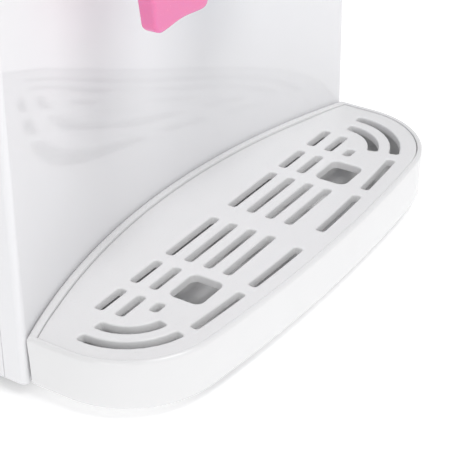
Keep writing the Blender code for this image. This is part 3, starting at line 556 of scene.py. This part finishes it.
def lever(name, x, node_name):
    """Front and back paths give each section its middle and thickness; sections are rings."""
    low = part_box(node_name)[0][2]
    share = np.concatenate([0.10 * (1 - np.cos(np.linspace(0, np.pi / 2, 22)))[:-1],
                            np.linspace(0.10, 0.96, 60),
                            0.96 + 0.04 * np.sin(np.linspace(0, np.pi / 2, 12))[1:]])
    front, length = path_points([(-0.1040, low), (-0.0980, 0.2270), (-0.0640, 0.2270)], [0.0085], share)
    back, _ = path_points([(-0.0953, low), (-0.0905, 0.1900), (-0.0905, 0.2140), (-0.0640, 0.2140)],
                          [0.0100, 0.0030], share)
    walked = share * length
    to_end = length - walked
    half_w = LEVER_HALF - round_end(walked, FOOT_ROUND) - round_end(to_end, 0.0020)
    squeeze = (round_end(walked, END_ROUND) + round_end(to_end, END_ROUND))[:, None]
    across = (front - back) / np.linalg.norm(front - back, axis=1)[:, None]
    front, back = front - across * squeeze, back + across * squeeze
    thick = np.linalg.norm(front - back, axis=1) / 2
    r = np.minimum(SECTION_ROUND, thick * 0.98)[:, None]
    run = np.linspace(1, -1, 25)[1:-1]
    corners = [np.radians(np.linspace(k, k + 90, 7)) for k in (0, 90, 180, 270)]
    flat = np.full(len(run), np.pi / 2)
    a = np.concatenate([corners[0], flat, corners[1], corners[2], 3 * flat, corners[3]])
    ones = np.ones(7)
    quadrant_x = np.concatenate([ones, run, -ones, -ones, -run, ones])
    quadrant_t = np.repeat([1, -1], len(a) // 2)
    wide = quadrant_x * (half_w[:, None] - r) + r * np.cos(a)
    deep = quadrant_t * (thick[:, None] - r) + r * np.sin(a)
    middle = (front + back) / 2
    place = middle[:, None, :] + deep[..., None] * across[:, None, :]
    arch = (FOOT_ARCH * np.cos(np.pi / 2 * np.clip(wide / ARCH_HALF, -1, 1)) ** 2
            * np.clip(1 - walked / ARCH_FADE, 0, 1)[:, None])
    rings = np.stack([x + wide, place[..., 0], place[..., 1] + arch], axis=-1)
    made = ring_skin(name, rings, sharp=40, bent_start=True)
    # The hollow between the flanges, then room for the lug, the stem's head and the stem's neck.
    carve(made, block_mesh((x - 0.0183, -0.0965, low + 0.0046), (x + 0.0183, -0.0500, 0.2120)))
    carve(made, block_mesh((x - 0.0062, -0.0935, 0.2070), (x + 0.0062, -0.0815, 0.2235)))
    carve(made, block_mesh((x - 0.0054, -0.0820, 0.2188), (x + 0.0054, -0.0600, 0.2235)))
    carve(made, block_mesh((x - 0.0034, -0.0820, 0.2100), (x + 0.0034, -0.0600, 0.2190)))
    drill(made, PIVOT_R, (x - 0.03, PIVOT_Y, PIVOT_Z), (x + 0.03, PIVOT_Y, PIVOT_Z))
    return made


levers = {name: lever("paddle_" + name, x, "lever_" + name) for name, x in TAPS}

# %% [markdown]
# ## Top cover and bottle seat
# The lid runs from the cabinet's outline to a round hole. Both edges have the same number of
# points, so the top is a blend from one to the other: ring after ring, first the hidden inside,
# then the outer wall, the soft round, the top, and down into the hole. The seat that the bottle
# stands in is a turned shape.

# %% Top cover
HOLE_R = 0.0655
REAR_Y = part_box("rear_cover")[1][1]
LID_ROUND = 0.0028


def lid_ring(inset, z):
    """The cabinet's outline, moved in by inset, at height z."""
    return lift(cabinet_outline(inset, REAR_Y), z)


def toward_hole(share, z, inset=LID_ROUND):
    """A ring part of the way from the cabinet's outline to the hole's edge."""
    edge = cabinet_outline(inset, REAR_Y)
    a = np.arctan2(edge[:, 1] - SEAT_Y, edge[:, 0])
    hole = np.column_stack([HOLE_R * np.cos(a), SEAT_Y + HOLE_R * np.sin(a)])
    return lift(edge + (hole - edge) * share, z)


lid_top, lid_foot = lid_high[2], lid_low[2]
wall_top = lid_top - 0.0030
lid_rings = [toward_hole(1.0, wall_top, SHEET), lid_ring(SHEET, wall_top), lid_ring(SHEET, lid_foot),
             lid_ring(0.0003, lid_foot), lid_ring(0.0, lid_foot + 0.0003), lid_ring(0.0, wall_top)]
lid_rings += [lid_ring(d, z) for d, z in bend(LID_ROUND, lid_top - LID_ROUND, LID_ROUND, 178, 92, 8)]
lid_rings += [toward_hole(share, lid_top) for share in (0.0, 0.03, 0.25, 0.5, 0.75, 0.97)]
lid_rings += [toward_hole(1.0, lid_top - 0.0004)]
lid = ring_skin("lid_moulding", np.stack(lid_rings), closed=True)

# %% Bottle seat
SEAT_TOP = collar_high[2]
seat_profile = (bend(0.0722, SEAT_TOP - 0.0014, 0.0014, 90, 0, 6) + [[0.0736, 0.4062]]
                + bend(0.0729, 0.4059, 0.0006, 0, -90, 3)
                + [[0.0650, 0.4053], [0.0650, 0.3763], [0.0530, 0.3763], [0.0530, 0.3660], [0.0215, 0.3520],
                   [0.0215, 0.3490], [0.0185, 0.3490]]
                + [[0.0185, 0.3545], [0.0490, 0.3683]] + bend(0.0490, 0.3698, 0.0015, 290, 360, 3)
                + [[0.0505, 0.3778]] + bend(0.0515, 0.3778, 0.0010, 180, 90, 4)
                + bend(0.0600, 0.3808, 0.0020, 270, 360, 5) + [[0.0620, 0.4030]]
                + bend(0.0665, 0.4040, 0.0045, 180, 150, 4)
                + bend(0.0688, SEAT_TOP - 0.0016, 0.0016, 150, 90, 5))
seat = turned("seat_moulding", seat_profile, (0, SEAT_Y, 0), steps=144)

# %% [markdown]
# ## Tap bodies
# Behind each lever stands a small valve: a round chamber that narrows to the spout, on a flange
# that seats on the panel's boss. The chamber and the shank are two turned shapes joined by a
# boolean, with soft rounds in their profiles, and the bonnet that closes the chamber is another.

# %% Tap bodies
CHAMBER_Y = -0.076
SPOUT_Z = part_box("tap_body_hot")[0][2]


def tap_body(name, x):
    """A chamber turned about an upright axis and a shank turned about a level one, joined."""
    chamber = ([[0.0040, 0.1780], [0.0040, SPOUT_Z + 0.0006]]
               + bend(0.0048, SPOUT_Z + 0.0008, 0.0008, 180, 270, 3)
               + bend(0.0062, SPOUT_Z + 0.0008, 0.0008, 270, 360, 4) + [[0.0071, 0.1700]]
               + bend(0.0079, 0.1722, 0.0011, 250, 350, 4) + [[0.0090, 0.1740], [0.0090, 0.2052]]
               + bend(0.0082, 0.2052, 0.0008, 0, 90, 4) + [[0.0062, 0.2060], [0.0062, 0.1780]])
    body = turned(name, chamber, (x, CHAMBER_Y, 0), steps=72)
    shank = ([[0.0040, -0.0730], [0.0040, -0.0300], [0.0070, -0.0300], [0.0070, -0.0646]]
             + [[0.0146, -0.0646], [0.0150, -0.0650]] + bend(0.0140, -0.0666, 0.0010, 0, -90, 4)
             + bend(0.0090, -0.0696, 0.0020, 90, 150, 3) + [[0.0070, -0.0730]])
    flange = turned("shank", shank, (x, 0, BORE_Z), 'Y', steps=72)
    mesh = flange.data
    bpy.data.objects.remove(flange)
    carve(body, mesh, 'UNION')
    drill(body, 0.0062, (x, CHAMBER_Y, 0.1781), (x, CHAMBER_Y, 0.2059))
    drill(body, 0.0039, (x, CHAMBER_Y + 0.002, BORE_Z), (x, -0.060, BORE_Z))
    return body


def tap_bonnet(name, x):
    """The bonnet: a turned cap with a lug, cut as a side outline and joined on."""
    cap = turned(name, [[0.0028, 0.2063], [0.0098, 0.2063], [0.0100, 0.2067]]
                 + bend(0.0092, 0.2112, 0.0008, 0, 90, 4) + [[0.0028, 0.2120]], (x, CHAMBER_Y, 0), steps=72)
    side = np.array([(-0.0855, 0.2070), (-0.0820, 0.2070)] + bend(-0.0840, 0.2200, 0.0020, 0, 90, 6)
                    + bend(-0.0890, 0.2200, 0.0020, 90, 180, 6) + [(-0.0910, 0.2160)])
    widths = np.array([-0.0055, -0.0052, 0.0052, 0.0055])
    middle = side.mean(axis=0)
    rings = [np.column_stack([np.full(len(side), x + w), middle + (side - middle) * k])
             for w, k in zip(widths, (0.94, 1.0, 1.0, 0.94))]
    lug = ring_skin("lug", np.stack(rings))
    mesh = lug.data
    bpy.data.objects.remove(lug)
    carve(cap, mesh, 'UNION')
    drill(cap, PIVOT_R, (x - 0.01, PIVOT_Y, PIVOT_Z), (x + 0.01, PIVOT_Y, PIVOT_Z))
    return cap


tap_pieces = []
for name, x in TAPS:
    tap_pieces.append((tap_body("valve_body_" + name, x), "tap_body_" + name))
    tap_pieces.append((tap_bonnet("bonnet_" + name, x), "tap_bonnet_" + name))

# %% [markdown]
# Inside each chamber a wire spring presses the stem down. It is a helix with a close coil at
# each end. The share of its height left when the lever lifts the stem, with its upper end staying
# where it is, is worked out, but the coil is not shortened here.

# %% Springs
SPRING_R, WIRE_R, TURNS = 0.0042, 0.0006, 6.5
STEM_RISE = 0.0024


def spring(name, x, node_name):
    """A small circle carried round a helix; also the share of its height left when pressed."""
    low, high = (corner[2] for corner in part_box(node_name))
    share = np.linspace(0, 1, 241)
    # About the first and the last turn climb slowly, so that they lie nearly flat.
    climb = np.clip((share - 0.12) / 0.76, 0, 1)
    angle = 2 * np.pi * TURNS * share
    z = low + WIRE_R + (high - low - 2 * WIRE_R) * (0.86 * climb + 0.14 * share)
    outward = np.column_stack([np.cos(angle), np.sin(angle), np.zeros(len(share))])
    middle = outward * SPRING_R + (x, CHAMBER_Y, 0)
    middle[:, 2] = z
    a = np.linspace(0, 2 * np.pi, 8, endpoint=False)[None, :, None]
    rings = middle[:, None, :] + WIRE_R * (outward[:, None, :] * np.cos(a) + np.array([0, 0, 1]) * np.sin(a))
    made = ring_skin(name, rings)
    return made, (high - low - STEM_RISE) / (high - low), high


springs = {name: spring("spring_" + name, x, "valve_spring_" + name) for name, x in TAPS}

# %% [markdown]
# ## Colour and nodes
# Colours are written as sRGB hex values, as a picture shows them. A shader wants linear light,
# so one function converts them. A second one adds a node with its settings and its links.

# %% Helpers for materials
def linear(hex_colour):
    """An sRGB hex colour as linear red, green, blue and alpha."""
    srgb = np.array([int(hex_colour[i:i + 2], 16) for i in (1, 3, 5)]) / 255
    light = np.where(srgb <= 0.04045, srgb / 12.92, ((srgb + 0.055) / 1.055) ** 2.4)
    return (*light.tolist(), 1.0)


def add_node(tree, kind, inputs=None, **settings):
    """One node: settings are its properties, inputs are values or the sockets that feed it."""
    made = tree.nodes.new(kind)
    for key, value in settings.items():
        setattr(made, key, value)
    for key, value in (inputs or {}).items():
        if isinstance(value, bpy.types.NodeSocket):
            tree.links.new(value, made.inputs[key])
        else:
            made.inputs[key].default_value = value
    return made


def start_material(name, colour, **values):
    """A Principled material with constants set on its sockets, and its Object coordinates."""
    made = bpy.data.materials.new(name)
    made.use_nodes = True
    tree = made.node_tree
    shader = tree.nodes["Principled BSDF"]
    shader.inputs["Base Color"].default_value = linear(colour)
    for key, value in values.items():
        shader.inputs[key.replace("_", " ")].default_value = value
    return made, tree, shader, add_node(tree, 'ShaderNodeTexCoord').outputs["Object"]


# %% [markdown]
# ## Moulded plastics
# Most of the object is moulded plastic. Under a strong light, even a polished moulding isn't one
# flat value: the wall sinks by microns as it cools, which bends reflections softly over 20 to 60
# mm, and the mould's own polish or spark erosion gives a fine grain. So each plastic mixes two
# close colours in large patches, varies its roughness, and adds two bumps: long waves and grain.

# %% Plastics
def plastic(name, colour, shade, roughness, grain_mm, grain, waves_mm, waves, **values):
    """Large noise mixes two colours and bends reflections; fine noise varies the polish."""
    made, tree, shader, place = start_material(name, colour, **values)
    patches = add_node(tree, 'ShaderNodeTexNoise', {"Vector": place, "Scale": 1000 / waves_mm, "Detail": 3.0})
    fine = add_node(tree, 'ShaderNodeTexNoise', {"Vector": place, "Scale": 1000 / grain_mm, "Detail": 2.0})
    tint = add_node(tree, 'ShaderNodeMix', {"Factor": patches.outputs["Fac"], "A": linear(colour),
                                            "B": linear(shade)}, data_type='RGBA')
    tree.links.new(tint.outputs["Result"], shader.inputs["Base Color"])
    polish = add_node(tree, 'ShaderNodeMapRange', {"Value": fine.outputs["Fac"],
                                                   "From Min": 0.3, "From Max": 0.7,
                                                   "To Min": roughness * 0.8, "To Max": roughness * 1.25})
    tree.links.new(polish.outputs["Result"], shader.inputs["Roughness"])
    sink = add_node(tree, 'ShaderNodeBump', {"Height": patches.outputs["Fac"], "Strength": waves,
                                             "Distance": 0.001})
    bump = add_node(tree, 'ShaderNodeBump', {"Height": fine.outputs["Fac"], "Strength": grain,
                                             "Distance": 0.0002, "Normal": sink.outputs["Normal"]})
    tree.links.new(bump.outputs["Normal"], shader.inputs["Normal"])
    return made


# ABS, typical IOR 1.53. The panel comes from a mirror-polished mould, so its reflections are clear.
gloss_abs = plastic("abs_polished_white", "#F3F3F4", "#F0F0F2", 0.035, 1.2, 0.02, 60.0, 0.02, IOR=1.53)
# The tray and taps have a plain gloss, a little softer because they are scrubbed and splashed.
tray_abs = plastic("abs_gloss_white_tray", "#EEEEEE", "#EAEAEA", 0.16, 0.9, 0.03, 40.0, 0.04, IOR=1.53)
# The grille's top is spark-eroded: fine enough to feel smooth, rough enough to blur reflections.
grille_abs = plastic("abs_satin_white_grille", "#EEEEEE", "#EAEAEA", 0.34, 0.7, 0.10, 40.0, 0.02, IOR=1.53)
# Polypropylene is waxy: it never takes a mirror gloss, so its highlights are broad and dim.
satin_pp = plastic("polypropylene_satin_white", "#E6E6E6", "#E0E0E1", 0.42, 0.8, 0.18, 30.0, 0.05, IOR=1.49)
# The levers are coloured through, and a little light passes under the skin and softens edges.
pink_abs = plastic("abs_moulded_pink", "#EE84B6", "#EA7EB0", 0.22, 0.7, 0.01, 30.0, 0.01, IOR=1.53,
                   Subsurface_Weight=0.30, Subsurface_Scale=0.004)
blue_abs = plastic("abs_moulded_blue", "#7FBBF0", "#78B4EC", 0.22, 0.7, 0.01, 30.0, 0.01, IOR=1.53,
                   Subsurface_Weight=0.30, Subsurface_Scale=0.004)
grey_pp = plastic("polypropylene_grey_base", "#9A9CA1", "#92949A", 0.50, 0.8, 0.25, 30.0, 0.05, IOR=1.49)
# Glass fibres near the surface of nylon scatter light and leave it a grey-black satin.
black_nylon = plastic("nylon_glass_filled_black", "#1B1B1D", "#242427", 0.46, 0.5, 0.30, 20.0, 0.05, IOR=1.53)
# Rubber is matt, and bead foam is matt with a coarse relief from its beads.
foot_rubber = plastic("rubber_compression_moulded", "#222222", "#2B2B2B", 0.75, 0.6, 0.35, 15.0, 0.05,
                      IOR=1.52)
foam_eps = plastic("polystyrene_foam_moulded", "#F0F0EC", "#E6E6E1", 0.85, 3.0, 0.80, 20.0, 0.10, IOR=1.1)
# Pressed alumina is a fine, hard, off-white matt. Silicone is milky and passes light.
alumina = plastic("alumina_ceramic_pressed", "#EDEDE6", "#E2E2DA", 0.55, 0.4, 0.20, 12.0, 0.05, IOR=1.76)
silicone = plastic("silicone_extruded_clear", "#E4E4DF", "#DADAD4", 0.35, 0.9, 0.10, 20.0, 0.05, IOR=1.41,
                   Subsurface_Weight=0.25, Subsurface_Scale=0.003)
# Tinted polycarbonate is clear and glossy, with a colour that deepens below the surface.
red_lens = plastic("polycarbonate_tinted_red", "#C01818", "#A81010", 0.10, 0.6, 0.05, 10.0, 0.05, IOR=1.58,
                   Subsurface_Weight=0.3, Subsurface_Scale=0.002)
blue_lens = plastic("polycarbonate_tinted_blue", "#1C4FC4", "#1440A8", 0.10, 0.6, 0.05, 10.0, 0.05, IOR=1.58,
                    Subsurface_Weight=0.3, Subsurface_Scale=0.002)


# %% [markdown]
# ## Metals and the circuit board
# Rolled and drawn metals carry fine lines along the way they were worked. Stretched noise gives
# them: its scale is small along the line and large across it. The circuit board's copper tracks
# show through green lacquer as slightly lighter cells with straight edges.

# %% Metals and board
def worked_metal(name, colour, shade, roughness, line_mm, along):
    """A metal with lines along an axis: noise squeezed 60 times across that axis."""
    made, tree, shader, place = start_material(name, colour, Metallic=1.0)
    stretch = [1.0, 1.0, 1.0]
    stretch["XYZ".index(along)] = 1 / 60
    turned_place = add_node(tree, 'ShaderNodeMapping', {"Vector": place, "Scale": stretch})
    lines = add_node(tree, 'ShaderNodeTexNoise', {"Vector": turned_place.outputs["Vector"],
                                                  "Scale": 1000 / line_mm, "Detail": 4.0})
    tint = add_node(tree, 'ShaderNodeMix', {"Factor": lines.outputs["Fac"], "A": linear(colour),
                                            "B": linear(shade)}, data_type='RGBA')
    tree.links.new(tint.outputs["Result"], shader.inputs["Base Color"])
    rough = add_node(tree, 'ShaderNodeMapRange', {"Value": lines.outputs["Fac"],
                                                  "From Min": 0.3, "From Max": 0.7,
                                                  "To Min": roughness * 0.7, "To Max": roughness * 1.4})
    tree.links.new(rough.outputs["Result"], shader.inputs["Roughness"])
    bump = add_node(tree, 'ShaderNodeBump', {"Height": lines.outputs["Fac"], "Strength": 0.15,
                                             "Distance": 0.0001})
    tree.links.new(bump.outputs["Normal"], shader.inputs["Normal"])
    return made


# Steel is brushed along X, and aluminium is drawn through its die along Z: lines, and long highlights.
steel = worked_metal("stainless_steel_brushed", "#C9CACB", "#B4B5B7", 0.28, 0.4, 'X')
aluminium = worked_metal("aluminium_extruded", "#D3D5D7", "#BFC1C4", 0.36, 0.5, 'Z')

board, board_tree, board_shader, board_place = start_material("circuit_board_lacquered", "#1F6B3A",
                                                              Roughness=0.35, IOR=1.5)
cells = add_node(board_tree, 'ShaderNodeTexVoronoi', {"Vector": board_place, "Scale": 1000 / 4.0},
                 distance='CHEBYCHEV')
steps = add_node(board_tree, 'ShaderNodeMath', {0: cells.outputs["Distance"], 1: 0.35},
                 operation='GREATER_THAN')
tracks = add_node(board_tree, 'ShaderNodeMix', {"Factor": steps.outputs["Value"], "A": linear("#1F6B3A"),
                                                "B": linear("#2F8A4E")}, data_type='RGBA')
board_tree.links.new(tracks.outputs["Result"], board_shader.inputs["Base Color"])
board_bump = add_node(board_tree, 'ShaderNodeBump', {"Height": steps.outputs["Value"], "Strength": 0.2,
                                                     "Distance": 0.0001})
board_tree.links.new(board_bump.outputs["Normal"], board_shader.inputs["Normal"])
print("materials:", len(bpy.data.materials))

# %% [markdown]
# ## Dressing the frame
# Pieces whose shape is already right keep their mesh and only take a new material. A new piece
# rides on the body that its node belongs to, and stands for that node.

# %% Materials on the frame's own pieces
dress = {
    "side_panel_left side_panel_right": gloss_abs,
    "rear_cover feed_probe drain_spout": satin_pp,
    "base_plate": grey_pp,
    "fan_frame fan_rotor tap_nut_hot tap_nut_cold thermostat mains_inlet "
    "switch_frame_hot switch_frame_cold": black_nylon,
    "foot_front_left foot_front_right foot_rear_left foot_rear_right drain_plug": foot_rubber,
    "collar_seal cold_tap_hose hot_supply_hose hot_tap_hose drain_hose tap_gasket_hot tap_gasket_cold "
    "valve_stem_hot valve_stem_cold": silicone,
    "cold_tank hot_tank tank_bracket rear_screw_1 rear_screw_2 rear_screw_3 rear_screw_4 "
    "lever_pin_hot lever_pin_cold": steel,
    "cold_block heat_sink": aluminium,
    "cold_tank_jacket hot_tank_jacket": foam_eps,
    "cooling_module": alumina,
    "control_board": board,
    "indicator_hot rocker_hot": red_lens,
    "indicator_cold rocker_cold": blue_lens,
}
for names, material in dress.items():
    for name in names.split():
        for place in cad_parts[name].material_slots:
            place.material = material
print("dressed nodes:", sum(len(names.split()) for names in dress))


# %% New pieces on their bodies
fitted = []


def fit(piece, body, node_name, material):
    """A new piece: its material, the body it rides on, and the node it stands for."""
    piece.data.materials.clear()
    piece.data.materials.append(material)
    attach(piece, body)
    if node_name:
        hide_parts(node_name)
    fitted.append(piece.name)


fit(panel, "cabinet", "front_panel", gloss_abs)
for boss in bosses:
    fit(boss, "cabinet", None, gloss_abs)
fit(tray, "tray", "drip_tray", tray_abs)
fit(grille, "grille", "drip_grille", grille_abs)
fit(levers["hot"], "hot_lever", "lever_hot", pink_abs)
fit(levers["cold"], "cold_lever", "lever_cold", blue_abs)
fit(lid, "cabinet", "top_cover", gloss_abs)
fit(seat, "collar", "bottle_collar", satin_pp)
for piece, node_name in tap_pieces:
    fit(piece, "cabinet", node_name, tray_abs)
for name, (coil, share_left, top_end) in springs.items():
    fit(coil, "cabinet", "valve_spring_" + name, steel)
    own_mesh(coil)
print("new pieces:", len(fitted))

# %% [markdown]
# ## Floor and light
# The set is a white sweep for a white product. The floor glows a little, as a backlit table
# does, so it stays lighter than the plastic and fills the upright walls from below. The main
# light is a softbox high in front, which reaches only the upper part of each slot, so the slots
# darken with depth. Two weaker ones, low in front and at the left, lighten the tray's wall and
# the lever's flank. The view transform is the plain one, because a filmic one would turn white
# plastic grey and the pink pale.

# %% Stage
floor_mesh = bpy.data.meshes.new("floor")
floor_mesh.from_pydata([(-6, -6, 0), (6, -6, 0), (6, 6, 0), (-6, 6, 0)], [], [(0, 1, 2, 3)])
floor = bpy.data.objects.new("floor", floor_mesh)
bpy.context.scene.collection.objects.link(floor)
floor_paint, _, _, _ = start_material("floor_backlit_acrylic", "#F8F8F8", Roughness=0.9,
                                      Emission_Color=(1.0, 1.0, 1.0, 1.0), Emission_Strength=0.34)
floor_mesh.materials.append(floor_paint)

bpy.context.scene.view_settings.view_transform = 'Standard'
world = bpy.data.worlds.new("studio")
bpy.context.scene.world = world
world.use_nodes = True
surround = world.node_tree.nodes["Background"]
surround.inputs["Color"].default_value = linear("#F7F7F9")
surround.inputs["Strength"].default_value = 0.50


def soft_light(name, place, target, width, height, power):
    """A rectangular softbox that faces its target."""
    lamp = bpy.data.lights.new(name, 'AREA')
    lamp.shape = 'RECTANGLE'
    lamp.size, lamp.size_y = width, height
    lamp.energy = power
    made = bpy.data.objects.new(name, lamp)
    bpy.context.scene.collection.objects.link(made)
    aim = (Vector(target) - Vector(place)).to_track_quat('-Z', 'Y').to_matrix().to_4x4()
    made.matrix_world = Matrix.Translation(place) @ aim
    print("%s: %.1f W" % (name, power))


soft_light("front_softbox", (-0.7, -1.5, 0.75), (0, -0.1, 0.1), 1.2, 0.7, 1.5)
soft_light("overhead_softbox", (0.1, -0.9, 1.9), (0, -0.1, 0.0), 0.9, 0.9, 16)
soft_light("left_softbox", (-1.7, -0.5, 0.7), (0, -0.1, 0.1), 0.9, 0.7, 4.0)
